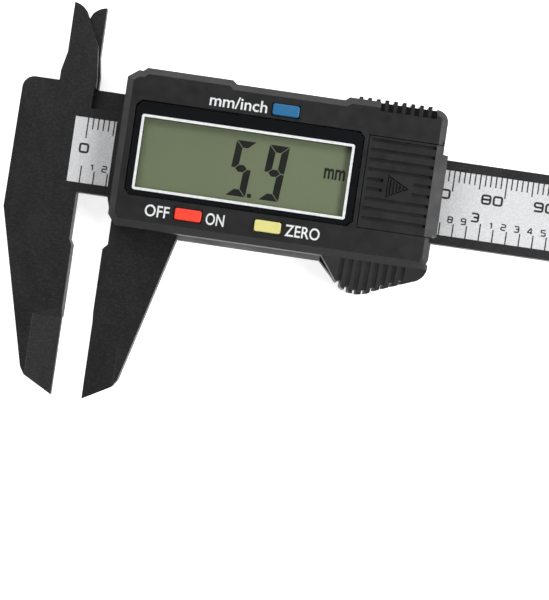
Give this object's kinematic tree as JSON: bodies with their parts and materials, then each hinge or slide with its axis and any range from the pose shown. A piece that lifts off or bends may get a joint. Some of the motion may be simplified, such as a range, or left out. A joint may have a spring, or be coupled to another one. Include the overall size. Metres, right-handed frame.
{
  "type": "digital caliper",
  "caption": "Digital sliding caliper with outside and inside jaws, depth rod, display housing, push buttons and a sliding battery door.",
  "frame": {"origin": "on the bench plane (Z = 0, the back of the slider), where the measuring face of the fixed outside jaw (X = 0) crosses the centreline of the beam (Y = 0)", "axes": "+X along the beam away from the fixed jaws (the direction in which the slider opens), +Y towards the inside jaws, +Z out of the display"},
  "size_m": [0.2401, 0.0742, 0.0147],
  "materials": {
    "black_composite": "fine matt, carbon-filled moulding",
    "case_plastic": "satin black moulding",
    "label_film": "fine silver film",
    "circuit_laminate": "solder mask",
    "spring_steel": "rolled strip",
    "screw_steel": "zinc plated",
    "window_clear": "clear polished",
    "trim_white": "satin white",
    "lcd_glass": "polarised",
    "lcd_reflector": "grey-green film",
    "holder_plastic": "matt",
    "elastomer": "striped conductive rubber",
    "epoxy_black": "cast epoxy",
    "ceramic": "fired ceramic",
    "button_blue": "satin moulding",
    "button_red": "satin moulding",
    "button_yellow": "satin moulding",
    "cell_steel": "nickel plated"
  },
  "bodies": {
    "beam": {"beam": "black_composite", "scale_circuit_strip": "circuit_laminate", "scale_label": "label_film", "end_stop": "black_composite", "end_stop_screws": "screw_steel"},
    "slider": {"slider_frame": "black_composite", "gib_spring": "spring_steel", "depth_rod": "spring_steel", "depth_rod_screw": "screw_steel", "circuit_board": "circuit_laminate", "controller_chip": "epoxy_black", "crystal": "spring_steel", "capacitors": "ceramic", "switch_domes": "spring_steel", "battery": "cell_steel", "negative_contact": "spring_steel", "positive_contact": "spring_steel", "display_window": "window_clear", "display_trim": "trim_white", "lcd_front_glass": "lcd_glass", "lcd_rear_glass": "lcd_glass", "lcd_reflector": "lcd_reflector", "lcd_holder": "holder_plastic", "zebra_connector": "elastomer", "front_case": "case_plastic", "case_screws": "screw_steel"},
    "mm_inch_button": {"mm_inch_button": "button_blue"},
    "on_off_button": {"on_off_button": "button_red"},
    "zero_button": {"zero_button": "button_yellow"},
    "battery_door": {"battery_door": "case_plastic"}
  },
  "joints": [
    {"name": "slider_slide", "type": "slide", "parent": "beam", "child": "slider", "axis": [1, 0, 0], "range_m": [-0.0059, 0.1441]},
    {"name": "mm_inch_press", "type": "slide", "parent": "slider", "child": "mm_inch_button", "axis": [0, 0, -1], "range_m": [0, 0.0006], "stiffness_N_per_m": 2000},
    {"name": "on_off_press", "type": "slide", "parent": "slider", "child": "on_off_button", "axis": [0, 0, -1], "range_m": [0, 0.0006], "stiffness_N_per_m": 2000},
    {"name": "zero_press", "type": "slide", "parent": "slider", "child": "zero_button", "axis": [0, 0, -1], "range_m": [0, 0.0006], "stiffness_N_per_m": 2000},
    {"name": "battery_door_slide", "type": "slide", "parent": "slider", "child": "battery_door", "axis": [1, 0, 0], "range_m": [0, 0.0145]}
  ]
}
